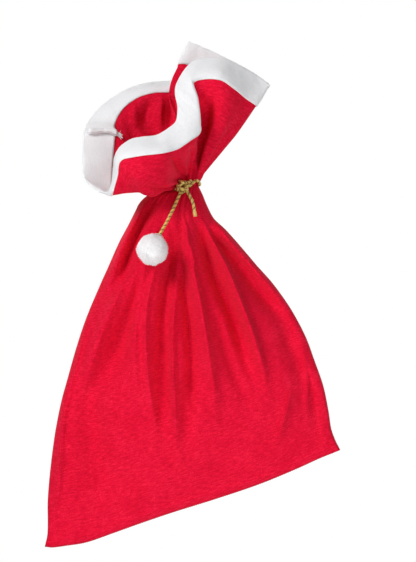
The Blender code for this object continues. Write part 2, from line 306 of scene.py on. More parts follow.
def gold_material():
    """Metallic thread wound over yarn: fine bright wraps, darker between them. One strand in three is
    wound with a duller thread."""
    material, shader = principled("gold_thread")
    uv = add(material, "ShaderNodeTexCoord")
    turned = add(material, "ShaderNodeMapping", Rotation=(0, 0, math.radians(38)))
    wire(material, uv, "UV", turned, "Vector")
    wraps = add(material, "ShaderNodeTexWave", Scale=520.0, Distortion=0.8, Detail=1.0)
    wire(material, turned, "Vector", wraps, "Vector")
    speck = add(material, "ShaderNodeTexNoise", Scale=700.0, Detail=3.0)
    wire(material, uv, "Object", speck, "Vector")
    mix = maths(material, "MULTIPLY", wraps, "Fac", (speck, "Fac"))
    bright = colour_ramp(material, ((0.04, (0.50, 0.31, 0.03)), (0.2, (0.9, 0.68, 0.15)),
                                    (0.45, (1.0, 0.9, 0.38))))
    dull = colour_ramp(material, ((0.04, (0.14, 0.08, 0.01)), (0.3, (0.36, 0.23, 0.04)),
                                  (0.6, (0.7, 0.5, 0.14))))
    wire(material, mix, "Value", bright, "Fac")
    wire(material, mix, "Value", dull, "Fac")
    parted = add(material, "ShaderNodeSeparateXYZ")
    wire(material, uv, "UV", parted, "Vector")
    third_strand = maths(material, "GREATER_THAN", parted, "Y", 1.5)
    either = add(material, "ShaderNodeMix")
    either.data_type = "RGBA"
    wire(material, third_strand, "Value", either, "Factor")
    colour_a, colour_b, colour_out = 6, 7, 2  # the mix node's colour sockets
    wire(material, bright, "Color", either, colour_a)
    wire(material, dull, "Color", either, colour_b)
    wire(material, either, colour_out, shader, "Base Color")
    bump = add(material, "ShaderNodeBump", Strength=0.6, Distance=0.0004)
    wire(material, mix, "Value", bump, "Height")
    wire(material, bump, "Normal", shader, "Normal")
    tune(shader, Metallic=0.35, Roughness=0.36)
    return material


def pile_material():
    """Soft white yarn."""
    material, shader = principled("pompom_yarn")
    place = add(material, "ShaderNodeTexCoord")
    tuft = add(material, "ShaderNodeTexNoise", Scale=260.0, Detail=4.0)
    wire(material, place, "Object", tuft, "Vector")
    ramp = colour_ramp(material, ((0.3, (0.93, 0.90, 0.92)), (0.6, (0.99, 0.98, 0.99))))
    wire(material, tuft, "Fac", ramp, "Fac")
    wire(material, ramp, "Color", shader, "Base Color")
    tune(shader, Roughness=0.9, Sheen_Weight=0.5, Sheen_Roughness=0.5, Subsurface_Weight=0.5,
         Subsurface_Radius=(0.004, 0.004, 0.004))
    return material


def thread_material(name, low, high):
    """Sewing thread, with its plies as fine bumps."""
    material, shader = principled(name)
    place = add(material, "ShaderNodeTexCoord")
    ply = add(material, "ShaderNodeTexNoise", Scale=1500.0, Detail=2.0)
    wire(material, place, "Object", ply, "Vector")
    ramp = colour_ramp(material, ((0.35, low), (0.65, high)))
    wire(material, ply, "Fac", ramp, "Fac")
    wire(material, ramp, "Color", shader, "Base Color")
    bump = add(material, "ShaderNodeBump", Strength=0.5, Distance=0.0002)
    wire(material, ply, "Fac", bump, "Height")
    wire(material, bump, "Normal", shader, "Normal")
    tune(shader, Roughness=0.55)
    return material


RED = cloth_material(
    "red_cloth", dark=(0.58, 0.0012, 0.0185), middle=(0.75, 0.0032, 0.033), light=(0.89, 0.0155, 0.059),
    pitch=1.1 * MM, weave=0.4, grain=420.0, roughness=0.85, sheen=0.07, sheen_tint=(1.0, 0.35, 0.42))
WHITE = cloth_material(
    "white_cloth", dark=(0.80, 0.797, 0.82), middle=(0.845, 0.845, 0.86), light=(0.875, 0.875, 0.885),
    pitch=0.9 * MM, weave=0.3, grain=300.0, roughness=0.8, sheen=0.15, sheen_tint=(1.0, 1.0, 1.0))
GOLD = gold_material()
PILE = pile_material()
RED_THREAD = thread_material("red_thread", (0.42, 0.002, 0.012), (0.68, 0.008, 0.03))
WHITE_THREAD = thread_material("white_thread", (0.72, 0.72, 0.75), (0.9, 0.9, 0.92))


# ---------------- stage

def make_world():
    """White all round, as the camera sees it. Its light is stronger from below than from above."""
    world = bpy.data.worlds.new("studio")
    bpy.context.scene.world = world
    world.use_nodes = True
    background = tune(world.node_tree.nodes["Background"], Color=(1, 1, 1, 1))
    direction = add(world, "ShaderNodeTexCoord")
    parted = add(world, "ShaderNodeSeparateXYZ")
    wire(world, direction, "Generated", parted, "Vector")
    lit = add(world, "ShaderNodeMapRange", From_Min=-0.7, From_Max=0.1, To_Min=0.5, To_Max=0.21)
    wire(world, parted, "Z", lit, "Value")
    seen = add(world, "ShaderNodeLightPath")
    strength = add(world, "ShaderNodeMapRange", To_Max=1.0)
    wire(world, seen, "Is Camera Ray", strength, "Value")
    wire(world, lit, "Result", strength, "To Min")
    wire(world, strength, "Result", background, "Strength")


def make_floor(half=6.0, level=-2.6):
    """A plain white floor, far below the hanging object, that takes no part in its light."""
    mesh = bpy.data.meshes.new("floor")
    corners = ((-half, -half, level), (half, -half, level), (half, half, level), (-half, half, level))
    mesh.from_pydata(corners, [], [(0, 1, 2, 3)])
    white, shader = principled("white_floor")
    tune(shader, Base_Color=(0, 0, 0, 1), Specular_IOR_Level=0, Emission_Color=(1, 1, 1, 1),
         Emission_Strength=1.0)
    mesh.materials.append(white)
    floor = bpy.data.objects.new("floor", mesh)
    bpy.context.scene.collection.objects.link(floor)
    floor.visible_diffuse = floor.visible_glossy = False
    floor.visible_transmission = floor.visible_shadow = False


def make_lamp(name, place, size, watts, target=(0, 0, -0.2)):
    light = bpy.data.lights.new(name, "AREA")
    light.shape = "SQUARE"
    light.size = size
    light.energy = watts
    obj = bpy.data.objects.new(name, light)
    obj.location = place
    obj.rotation_euler = (Vector(target) - Vector(place)).to_track_quat("-Z", "Y").to_euler()
    bpy.context.scene.collection.objects.link(obj)


def make_stage():
    scene = bpy.context.scene
    scene.view_settings.view_transform = "Standard"
    make_world()
    make_floor()
    make_lamp("key", (-1.9, -2.15, 1.3), 1.1, 74)
    make_lamp("fill", (1.9, -2.8, 0.5), 2.0, 16)
    make_lamp("top", (0.3, 0.6, 2.4), 1.6, 8)
    make_lamp("behind left", (-1.8, 2.4, 0.8), 1.6, 30)
    make_lamp("behind right", (2.3, 2.0, 0.5), 1.6, 22)
    make_lamp("below", (0.5, -1.5, -1.8), 1.6, 22, target=(0, 0, -0.5))

    camera = bpy.data.objects.new("camera", bpy.data.cameras.new("camera"))
    camera.data.lens = 99.3
    camera.location = EYE
    camera.rotation_euler = (math.radians(90), 0, 0)
    scene.collection.objects.link(camera)
    scene.camera = camera


# ---------------- cord

def frames_along(path):
    """Tangents and two side directions along a path, without needless twist."""
    tangents = np.gradient(path, axis=0)
    tangents /= np.linalg.norm(tangents, axis=1, keepdims=True)
    side = np.cross(tangents[0], (0.3, 0.9, 0.2))
    side /= np.linalg.norm(side)
    sides = []
    for t in tangents:
        side = side - t * side.dot(t)
        side /= np.linalg.norm(side)
        sides.append(side)
    sides = np.array(sides)
    return tangents, sides, np.cross(tangents, sides)


def tube_mesh(path, radius, around):
    """Vertices, faces and UVs of a round tube with closed ends. radius is one number, or one a point."""
    _, side, other = frames_along(path)
    count = len(path)
    radius = np.broadcast_to(radius, count)
    a = np.linspace(0, TAU, around, endpoint=False)
    ring = np.cos(a)[None, :, None] * side[:, None, :] + np.sin(a)[None, :, None] * other[:, None, :]
    vertices = (path[:, None, :] + ring * radius[:, None, None]).reshape(-1, 3)
    along = np.concatenate([[0], np.cumsum(np.linalg.norm(np.diff(path, axis=0), axis=1))])
    u = np.repeat(along, around)
    v = np.tile(a * float(radius.mean()), count)
    return vertices, ring_faces(count, around), np.stack([u, v], axis=1)


def join(parts):
    """One set of vertices, faces and UVs out of several."""
    vertices, faces, uvs, base = [], [], [], 0
    for v, f, uv in parts:
        vertices.append(v)
        uvs.append(uv)
        faces.extend(tuple(i + base for i in face) for face in f)
        base += len(v)
    return np.concatenate(vertices), faces, np.concatenate(uvs)


def rope(name, path, radius, strands=3, around=8, step=0.9 * MM):
    """A gold cord of twisted strands along a path, and its points."""
    count = max(int(length_of(path) / step), 8)
    path = even(path, count)
    _, side, other = frames_along(path)
    along = np.linspace(0, length_of(path), count)
    strand_r = 0.47 * radius
    parts = []
    for k in range(strands):
        a = along / CORD_PITCH * TAU + TAU * k / strands
        line = path + (side * np.cos(a)[:, None] + other * np.sin(a)[:, None]) * (radius - strand_r)
        v, f, uv = tube_mesh(line, strand_r, around)
        uv[:, 1] += k  # tells the strands apart in the material
        parts.append((v, f, uv))
    vertices, faces, uvs = join(parts)
    return new_object(name, vertices, faces, GOLD, uvs), path


def make_cords():
    """The cord round the neck with its knot, the two tails, and the pompom on the long one."""
    towards = POMPOM_CENTRE - KNOT_CENTRE
    towards = towards / np.linalg.norm(towards)
    pole = POMPOM_CENTRE - towards * POMPOM_R
    start, end = KNOT_CENTRE + towards * TAIL_START_GAP, pole - towards * (END_KNOT_R - 1 * MM)
    bow = np.array((0.5, 0.2, -0.6)) * 2.2 * MM  # the slight sag of the hanging tail
    route = np.array([start + (end - start) * u + bow * math.sin(math.pi * u)
                      for u in np.linspace(0, 1, 16)])
    tail, tail_path = rope("tail_cord", route, CORD_R)

    end_knot = knot_object("tail_end_knot", pole - towards * 0.4 * MM, 5.6 * MM, 1.9 * MM)
    short_path = even(SHORT_TAIL_ROUTE, 20)
    short, short_line = rope("short_tail_cord", short_path, CORD_R * 0.97)
    whipping = make_whipping(short_path)
    loop, _ = rope("neck_loop_cord", loop_route(), CORD_R)
    knot = main_knot()
    for piece, body, node in (
        (tail, "tail", "cord_tail"), (end_knot, "tail", "cord_end_knot"),
        (short, "neck", "short_cord_tail"), (whipping, "neck", "short_tail_whipping"),
        (loop, "neck", "neck_cord_loop"), (knot, "neck", "cord_knot"),
    ):
        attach(piece, body)
        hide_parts(node)

    pompom = make_pompom(towards)


def make_whipping(path, turns=9, reach=9.0 * MM):
    """Thread wound round the end of a cord, over a core that narrows to its tip."""
    along = path[-1] - path[-2]
    along = along / np.linalg.norm(along)
    first = path[-1] - along * 1.0 * MM
    side, other = perpendiculars(along)
    u = np.linspace(0, 1, turns * 14)
    a = u * turns * TAU
    coil = first + along * (u * reach)[:, None]
    coil = coil + (side * np.cos(a)[:, None] + other * np.sin(a)[:, None]) * (CORD_R - 0.1 * MM)
    core = np.array([first + along * reach * k for k in np.linspace(0, 1.0, 12)])
    core_r = CORD_R * np.array([1] * 9 + [0.95, 0.8, 0.5]) - 0.2 * MM
    vertices, faces, uvs = join([tube_mesh(coil, 0.55 * MM, 6), tube_mesh(core, core_r, 12)])
    return new_object("short_tail_whipping_thread", vertices, faces, GOLD, uvs)


def perpendiculars(along):
    """Two directions across another one."""
    side = np.cross(along, (0.2, 0.95, 0.1))
    side /= np.linalg.norm(side)
    return side, np.cross(along, side)


def loop_route():
    """The cord's turn round the neck, from one side of the knot to the other."""
    half_x, half_y = NECK_X + CORD_R, NECK_Y + CORD_R
    angles = np.radians(np.linspace(-90 + 16, 270 - 16, 60))
    x, y = half_x * np.cos(angles), half_y * np.sin(angles)
    bite = 0.4 * MM * np.sin(9 * angles)  # the cord sits into the pleats
    climb = 9 * MM * np.exp(-((np.degrees(angles) + 40) / 26) ** 2)  # it rides up at the front right
    return np.stack([x, y + bite, x * math.tan(LOOP_TILT) + 2 * MM + climb], axis=1)


def knot_object(name, centre, half, radius):
    """A tight overhand knot. half is half its width."""
    t = np.linspace(0, TAU, 120, endpoint=False)
    line = np.stack([np.sin(t) + 2 * np.sin(2 * t), -np.sin(3 * t) * 1.3,
                     np.cos(t) - 2 * np.cos(2 * t)], axis=1)
    line /= np.abs(line).max(axis=0)
    line = centre + line * (half - radius)
    return rope(name, np.concatenate([line, line[:3]]), radius, step=0.6 * MM)[0]


def main_knot():
    """The knot in front of the neck: the loop's two ends cross, and each wraps the other once."""
    c = KNOT_CENTRE
    first = np.array((
        (-15, 8, -2), (-10, 2, -6), (-2, -5, -6), (6, -7, -1), (10, -3, 6), (6, 3, 10), (-2, 4, 9),
        (-9, 0, 7), (-10, -5, 1), (-4, -9, -3), (3, -8, -3), (7, -1, -6), (2, 3, -8), (-2, -2, -10),
    )) * MM + c
    second = np.array((
        (15, 9, 13), (10, 2, 9), (4, -5, 8), (-3, -9, 5), (-9, -6, -1), (-8, 1, -7), (-1, 4, -4),
        (4, 0, 2), (3, -9, 7), (-2, -10, 9), (-6, -4, 11), (0, 2, 6), (7, -2, -1), (8, -4, -7),
        (8.6, -4.3, -10.2),
    )) * MM + c
    first[-1] = c + (SHORT_TAIL_ROUTE[0] - c) * 0.2 + np.array((-4.5, -4, -9)) * MM
    second[-1] = SHORT_TAIL_ROUTE[0]
    return merge("knot_cord", [rope("strand", line, CORD_R * 0.95)[0] for line in (first, second)])


def merge(name, objects):
    """One object made of several, by joining their meshes."""
    bm = bmesh.new()
    for obj in objects:
        bm.from_mesh(obj.data)
    mesh = bpy.data.meshes.new(name)
    bm.to_mesh(mesh)
    bm.free()
    mesh.materials.append(objects[0].data.materials[0])
    for obj in objects:
        bpy.data.objects.remove(obj)
    return linked(name, mesh)


def make_pompom(towards):
    """Cut yarn that stands out all round from a tied core, except round the knot at its pole."""
    k = np.arange(YARN_COUNT) + 0.5
    polar = np.arccos(1 - 2 * k / YARN_COUNT)
    turn = math.pi * (1 + 5**0.5) * k
    out = np.stack([np.cos(turn) * np.sin(polar), np.sin(turn) * np.sin(polar), np.cos(polar)], axis=1)
    out += RANDOM.normal(0, 0.035, out.shape)
    out /= np.linalg.norm(out, axis=1, keepdims=True)
    clump = waves(out[:, 0], out[:, 1] + out[:, 2] * 0.7, 0.55, 5)
    vertices, faces = [], []
    segments, around = 3, 3
    yarn_faces = ring_faces(segments + 1, around, first_cap=False)
    bare = math.cos(math.radians(16))  # the knot's clearing
    for n, d in enumerate(out):
        if d.dot(-towards) > bare:
            continue
        tip = POMPOM_R * (0.95 + 0.05 * clump[n] + RANDOM.normal(0, 0.016))
        tip = min(tip, POMPOM_R * 1.035)
        side, other = perpendiculars(d)
        bend = (side * RANDOM.normal(0, 1) + other * RANDOM.normal(0, 1)) * 0.9 * MM
        faces.extend(tuple(len(vertices) + i for i in face) for face in yarn_faces)
        for j in range(segments + 1):
            f = j / segments
            middle = POMPOM_CENTRE + d * (POMPOM_R * 0.74 * (1 - f) + tip * f) + bend * f * f
            r = 0.75 * MM * (1 - 0.7 * f)
            for q in range(around):
                a = TAU * q / around
                vertices.append(middle + (side * math.cos(a) + other * math.sin(a)) * r)
    pile = new_object("pompom_pile_yarn", vertices, faces, PILE)
    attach(pile, "pompom")
    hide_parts("pompom_pile")

    bm = bmesh.new()
    bmesh.ops.create_icosphere(bm, subdivisions=5, radius=POMPOM_R * 0.9)
    for v in bm.verts:
        d = np.array(v.co) / v.co.length
        ripple = waves(np.array([d[0] * 3]), np.array([d[1] * 3 + d[2] * 2]), 0.5, 8)[0]
        v.co = Vector(POMPOM_CENTRE + d * POMPOM_R * (0.885 + 0.012 * ripple))
    mesh = bpy.data.meshes.new("pompom_core_yarn")
    bm.to_mesh(mesh)
    bm.free()
    mesh.materials.append(PILE)
    core = linked("pompom_core_yarn", mesh)
    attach(core, "pompom")
    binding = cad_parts["pompom_binding_thread"]
    binding.data.materials.clear()
    binding.data.materials.append(WHITE_THREAD)
    return [pile, core, binding]


# ---------------- body

BODY_ROWS, BODY_COLUMNS = 190, 170
BELLY = 62 * MM  # how far each panel bulges
FOLD_GAIN = 1.65  # the folds' heights are times this
PLEATS = 13  # small pleats across each panel, just below the cord
SEAM_RIDGE = 3.6 * MM

# Folds of the front panel, as lines down the cloth seen from the front. Each is its height in
# millimetres (negative for a valley), its half width where it starts and where it ends, how much
# steeper its right side is than its left, and its points (x, z) in millimetres.
FRONT_FOLDS = (
    (9, 7, 12, 1.7, ((-62, -12), (-92, -58), (-118, -112), (-140, -170), (-156, -220))),
    (-15, 8, 15, 0.8, ((-50, -10), (-76, -56), (-101, -108), (-119, -168), (-130, -225))),
    (7, 9, 16, 1.2, ((-46, -20), (-74, -90), (-94, -160), (-112, -222), (-126, -270))),
    (13, 12, 30, 1.7, ((-98, -150), (-136, -222), (-168, -300), (-192, -380), (-206, -460))),
    (-15, 10, 24, 0.8, ((-72, -130), (-96, -210), (-124, -286), (-148, -350), (-172, -430))),
    (12, 9, 18, 1.4, ((-42, -50), (-68, -120), (-84, -190), (-94, -260), (-95, -330), (-86, -430))),
    (8, 6, 7, 1.6, ((-46, -120), (-66, -190), (-74, -260), (-70, -350), (-58, -430), (-40, -510))),
    (-17, 8, 16, 0.7, ((-14, -40), (-22, -100), (-36, -180), (-43, -250), (-46, -345), (-41, -442),
                       (-26, -540))),
    (11, 5, 9, 1.5, ((-16, -170), (-20, -240), (-22, -300), (-19, -403), (-14, -530))),
    (-15, 7, 14, 0.9, ((-8, -100), (-3, -180), (6, -248), (11, -326), (5, -429), (3, -545))),
    (17, 8, 16, 1.7, ((0, -36), (8, -110), (22, -177), (36, -248), (48, -326), (58, -400), (62, -480))),
    (-22, 8, 17, 0.8, ((20, -40), (34, -98), (54, -164), (84, -229), (108, -300), (126, -356),
                       (150, -420))),
    (-8, 8, 15, 1.0, ((56, -220), (72, -290), (94, -352), (134, -440))),
    (17, 6, 12, 1.6, ((30, -50), (50, -92), (80, -150), (107, -216), (131, -281), (151, -352), (164, -425))),
    (-17, 7, 21, 0.9, ((40, -56), (62, -98), (106, -146), (145, -197), (182, -242), (212, -312))),
    (9, 8, 18, 1.2, ((50, -50), (96, -112), (140, -160), (182, -212), (216, -280))),
    (-7, 14, 28, 1.0, ((184, -250), (216, -330), (242, -400), (262, -480))),
    (5, 6, 9, 1.3, ((218, -290), (234, -350), (236, -420), (240, -470))),
    (5, 7, 9, 1.3, ((206, -380), (192, -430), (176, -500))),
    (-16, 18, 46, 0.9, ((-196, -330), (-182, -430), (-166, -560), (-152, -690))),
    (6, 12, 22, 1.2, ((-230, -380), (-238, -470), (-242, -580), (-240, -660))),
    (4.5, 4.2, 4.6, 1.5, ((-186, -250), (-208, -338), (-226, -386), (-234, -444), (-236, -500),
                          (-242, -560))),
    (4.5, 3.6, 4.0, 1.5, ((-235, -470), (-239, -520), (-243, -578), (-252, -618), (-259, -660))),
)
# Folds of the back panel: the angle from straight down in degrees, near the neck and then further
# on, the height in millimetres, the width in degrees, and how far from the neck it dies out.
BACK_FOLDS = (
    (-50, -44, 9, 5, 320), (-40, -36, -11, 5, 360), (-29, -26, 17, 4, 520), (-20, -17, -19, 5, 560),
    (-10, -9, 16, 4, 460), (-3, -1, -11, 4, 400), (6, 5, 20, 4, 620), (14, 12, -18, 4.5, 560),
    (23, 22, 18, 4, 600), (31, 30, -15, 5, 480), (40, 39, 12, 5, 420), (50, 48, -7, 5, 280),
)


def along_line(x, z, points):
    """For each place, how far it is from a line, positive to its right, and how far along, 0 to 1."""
    line = even(np.array(points, float) * MM, 26)
    best, signed, part = np.full(x.shape, np.inf), np.zeros(x.shape), np.zeros(x.shape)
    for i in range(len(line) - 1):
        (ax, az), (dx, dz) = line[i], line[i + 1] - line[i]
        f = np.clip(((x - ax) * dx + (z - az) * dz) / (dx * dx + dz * dz), 0, 1)
        ox, oz = x - ax - f * dx, z - az - f * dz
        d = np.hypot(ox, oz)
        nearer = d < best
        best = np.where(nearer, d, best)
        signed = np.where(nearer, np.sign(oz * dx - ox * dz) * d, signed)
        part = np.where(nearer, (i + f) / (len(line) - 1), part)
    return signed, part


def line_folds(x, z, folds):
    """Height of folds that are given as lines. Ridges are sharper than valleys."""
    total = np.zeros_like(x)
    for height, start, end, lean, points in folds:
        signed, part = along_line(x, z, points)
        wide = (start + (end - start) * part) * MM
        wide = np.where(signed > 0, wide / lean, wide)
        shape = np.exp(-np.abs(signed / wide) ** (1.45 if height > 0 else 2.0))
        total += height * MM * shape * smoothstep(part, 0, 0.22) * (1 - smoothstep(part, 0.55, 1))
    return total


def coons(left, right, top, bottom):
    """A patch filled in between four edges, rows from top to bottom and columns from left to right."""
    rows, columns = len(left), len(top)
    t, s = np.linspace(0, 1, rows)[:, None, None], np.linspace(0, 1, columns)[None, :, None]
    ruled = left[:, None] * (1 - s) + right[:, None] * s + top[None] * (1 - t) + bottom[None] * t
    corners = (top[0] * (1 - s) + top[-1] * s) * (1 - t) + (bottom[0] * (1 - s) + bottom[-1] * s) * t
    return ruled - corners


def fold_height(x, z, folds):
    """Height of folds that fan out from the neck, given by their angles."""
    away = np.hypot(x, z) / MM
    angle = np.degrees(np.arctan2(x, -z))
    total = np.zeros_like(x)
    for near, far, height, width, reach in folds:
        centre = near + (far - near) * smoothstep(away, 100, 400)
        wide = width * (1 + 0.35 * smoothstep(away, 150, 500))
        shape = 1 / (1 + ((angle - centre) / wide) ** 2) ** 2
        rise = smoothstep(away, 15, 130) * (1 - smoothstep(away, reach * 0.45, reach))
        total += height * MM * shape * rise
    return total


def body_grid(side):
    """Points of one panel below the cord. side is -1 for the front and 1 for the back."""
    left, right = even(LEFT_OUTLINE, BODY_ROWS), even(RIGHT_OUTLINE, BODY_ROWS)
    bottom = even(BOTTOM_SEAM, BODY_COLUMNS)
    s = np.linspace(0, 1, BODY_COLUMNS)
    top = left[0] + (right[0] - left[0]) * ((1 - np.cos(math.pi * s)) / 2)[:, None]
    flat = coons(left, right, top, bottom)
    x, z = flat[..., 0], flat[..., 1]
    t = np.linspace(0, 1, BODY_ROWS)[:, None]
    s = s[None, :]
    across = 4 * s * (1 - s)
    away = np.hypot(x, z)
    neck = NECK_Y * np.sin(math.pi * s) * (1 - smoothstep(t, 0.0, 0.33))
    belly = BELLY * across**0.62 * (t**0.8 * (1 - t) ** 0.72) / 0.40
    depth = neck + belly
    turns = s + 0.012 * np.sin(9 * s + side) + 0.006 * np.sin(31 * s)
    pleats = np.abs(np.sin(PLEATS * math.pi * turns)) ** 0.8 - 0.5
    pleats *= 0.75 + 0.35 * np.sin(17 * s + 2 * side)
    depth += 5.5 * MM * pleats * np.sqrt(across) * (1 - smoothstep(away, 0.02, 0.12))
    soft = smoothstep(across, 0.0, 0.16)
    if side < 0:
        depth += FOLD_GAIN * line_folds(x, z, FRONT_FOLDS) * soft
    else:
        depth += fold_height(x, z, BACK_FOLDS) * soft
    depth += waves(x, z, 0.30, 3 + side) * 2.6 * MM * smoothstep(across, 0, 0.3) * smoothstep(1 - t, 0, 0.12)
    depth += waves(x, z, 0.09, 13 + side) * 0.7 * MM * smoothstep(across, 0, 0.15)
    if side < 0:  # the pompom lies on the cloth, and presses it in where it swings
        swing = np.radians(np.linspace(-26, 32, 59))
        rx, rz = POMPOM_CENTRE[0] - KNOT_CENTRE[0], POMPOM_CENTRE[2] - KNOT_CENTRE[2]
        px = KNOT_CENTRE[0] + rx * np.cos(swing) + rz * np.sin(swing)
        pz = KNOT_CENTRE[2] - rx * np.sin(swing) + rz * np.cos(swing)
        apart = np.hypot(x[..., None] - px, z[..., None] - pz).min(axis=-1)
        ball = POMPOM_R + 2.5 * MM
        depth = np.minimum(depth, -POMPOM_CENTRE[1] - np.sqrt(np.maximum(ball**2 - apart**2, 0)))
    # the seam allowance inside lifts a strip along the sides and the bottom
    edge = np.minimum(np.minimum(s * 0.5, (1 - s) * 0.5), (1 - t) * 0.62)
    strip = (1 - smoothstep(edge, 0.015, 0.019)) * smoothstep(edge, 0.0, 0.003)
    depth += SEAM_RIDGE * strip * smoothstep(t, 0.3, 0.6)
    return np.stack([x, side * (0.2 * MM + np.maximum(depth, 0)), z], axis=-1)


def make_body():
    for side, word in ((-1, "front"), (1, "back")):
        grid = body_grid(side)
        obj = grid_object(f"{word}_cloth_below_cord", grid, (0.6, 0.64), RED, flip=side > 0)
        thicken(obj, CLOTH)
        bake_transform(obj)
        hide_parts(f"{word}_panel_body", f"{word}_panel_neck")
    left, right = even(LEFT_OUTLINE, 400), even(RIGHT_OUTLINE, 400)
    bottom = even(BOTTOM_SEAM, 400)
    for name, line, node in (
        ("left_seam_stitches", left[40:392], "left_side_seam_thread"),
        ("right_seam_stitches", right[50:390], "right_side_seam_thread"),
        ("bottom_seam_stitches", bottom[6:394], "bottom_seam_thread"),
    ):
        away = line - np.array((0, -0.2))
        line = line + away / np.linalg.norm(away, axis=1, keepdims=True) * 0.6 * MM
        path = np.stack([line[:, 0], np.zeros(len(line)), line[:, 1]], axis=1)
        whip = stitches(name, path, 4.2 * MM, 2.6 * MM, 0.45 * MM, RED_THREAD)
        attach(whip, "sack_body")
        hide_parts(node)


def stitches(name, path, spacing, long, radius, material):
    """Separate short stitches along a path, each thickest in its middle."""
    total = length_of(path)
    dense = even(path, max(int(total / (0.7 * MM)), 20))
    step = total / (len(dense) - 1)
    parts = []
    place = spacing / 2
    while place + long < total - spacing / 2:
        a = int(place / step)
        b = max(a + 3, int((place + long) / step))
        piece = dense[a:b + 1]
        bulge = np.sin(np.linspace(0, math.pi, len(piece)))
        parts.append(tube_mesh(piece, radius * (0.55 + 0.45 * bulge), 6))
        place += spacing
    vertices, faces, uvs = join(parts)
    return new_object(name, vertices, faces, material, uvs)


# ---------------- mouth

# The mouth as columns of cloth, anticlockwise from above, from the left side seam, along the front
# to the right side seam, and back along the rear. Each column has three points in millimetres:
# halfway up, where the band is sewn on, and the rim. x and z are as they look from EYE at the
# neck's distance, and y is the true depth.
FRONT_COLUMNS = (
    ((-85, 20, 50), (-135, 25, 108), (-194, 10, 110)),
    ((-94, 4, 28), (-139, 6, 56), (-197, -4, 64)),
    ((-98, -18, 10), (-142, -8, 8), (-194, -20, 24)),
    ((-100, -42, -2), (-142, -52, -6), (-171, -40, 1)),
    ((-96, -62, -8), (-139, -96, -5), (-146, -52, -3)),
    ((-88, -82, -8), (-129, -117, 30), (-139, -66, 36)),
    ((-76, -96, -8), (-124, -130, 56), (-133, -78, 70)),
    ((-64, -102, -4), (-102, -139, 63), (-112, -86, 92)),
    ((-50, -98, 4), (-76, -142, 67), (-84, -92, 101)),
    ((-30, -84, 20), (-42, -137, 71), (-52, -90, 107)),
    ((-10, -58, 42), (-14, -120, 79), (-24, -84, 124)),
    ((4, -52, 54), (10, -110, 95), (-14, -80, 136)),
    ((16, -50, 62), (31, -96, 112), (-13, -74, 160)),
    ((24, -46, 74), (30, -84, 140), (-18, -66, 186)),
    ((28, -40, 90), (25, -76, 174), (-14, -58, 208)),
    ((34, -22, 114), (15, -66, 205), (4, -44, 236)),
    ((44, -20, 124), (36, -64, 214), (26, -34, 252)),
    ((60, -40, 116), (68, -62, 212), (70, -26, 254)),
    ((74, -42, 108), (92, -50, 196), (100, -16, 243)),
    ((84, -26, 102), (116, -26, 177), (134, -6, 223)),
    ((88, -6, 95), (138, -5, 162), (165, 2, 201)),
)
BACK_COLUMNS = (
    ((80, 20, 108), (110, 17, 175), (134, 14, 224)),
    ((60, 30, 122), (82, 25, 192), (100, 20, 243)),
    ((45, 36, 136), (54, 31, 212), (66, 26, 260)),
    ((26, 40, 144), (26, 36, 232), (32, 30, 276)),
    ((8, 38, 150), (3, 36, 243), (13, 33, 283)),
    ((-34, 40, 172), (-13, 41, 241), (6, 38, 284)),
    ((-24, 54, 148), (-4, 58, 222), (14, 62, 262)),
    ((-22, 64, 126), (-14, 72, 196), (2, 94, 226)),
    ((-34, 66, 108), (-33, 70, 188), (-27, 114, 211)),
    ((-48, 62, 102), (-58, 64, 188), (-66, 116, 207)),
    ((-64, 60, 94), (-90, 60, 178), (-101, 114, 198)),
    ((-80, 52, 82), (-116, 52, 160), (-130, 102, 184)),
    ((-90, 44, 70), (-130, 42, 142), (-160, 78, 162)),
    ((-90, 34, 60), (-136, 34, 124), (-184, 46, 134)),
)
# Creases above the cord, as lines seen from the front, in the form of FRONT_FOLDS. The second set is
# in the rear cloth, seen from inside, where a positive height is away from the viewer.
FRONT_CREASES = (
    (-13, 6, 10, 0.9, ((20, 26), (30, 70), (38, 118), (42, 150), (54, 176), (70, 204))),
    (8, 6, 13, 1.4, ((24, 26), (42, 66), (56, 108), (68, 150), (84, 196))),
    (5, 4, 5, 1.2, ((32, 112), (36, 128), (38, 150))),
    (-10, 4, 8, 1.0, ((4, 16), (-4, 32), (-15, 52), (-28, 74))),
    (6, 3, 6, 1.3, ((8, 18), (-2, 44), (-10, 62), (-14, 80))),
    (-6, 3, 5, 1.0, ((12, 18), (16, 44), (16, 70), (10, 96))),
    (6, 3, 6, 1.4, ((16, 18), (23, 50), (27, 76), (30, 104))),
    (-5, 5, 10, 1.0, ((30, 26), (58, 66), (86, 106), (112, 150))),
    (4, 6, 12, 1.2, ((-20, 8), (-50, 14), (-84, 24), (-118, 34))),
    (-4, 6, 12, 1.0, ((-18, 2), (-50, 0), (-84, 4), (-120, 10))),
)
BACK_CREASES = (
    (9, 10, 14, 1.0, ((-66, 186), (-72, 160), (-78, 130), (-74, 100))),
    (-7, 7, 10, 1.3, ((-44, 186), (-48, 160), (-50, 130), (-48, 96))),
    (7, 7, 10, 1.0, ((-14, 186), (-24, 160), (-30, 126), (-30, 96))),
    (-5, 8, 10, 1.3, ((-98, 168), (-98, 140), (-92, 110))),
)
MOUTH_ACROSS = 460  # columns of the fine mesh, all the way round
MOUTH_UP = 56
JUNCTION_ROW = 43  # the row where the band is sewn on
FRONT_SHARE = (len(FRONT_COLUMNS) - 1) / (len(FRONT_COLUMNS) + len(BACK_COLUMNS))
RIGHT_SEAM = int(round(MOUTH_ACROSS * FRONT_SHARE))  # its column. The left seam is column 0
FINE_PLEATS, BROAD_FOLDS = 30, 13  # all the way round
NECK_AXIS = np.array((-math.sin(LOOP_TILT), 0, math.cos(LOOP_TILT)))


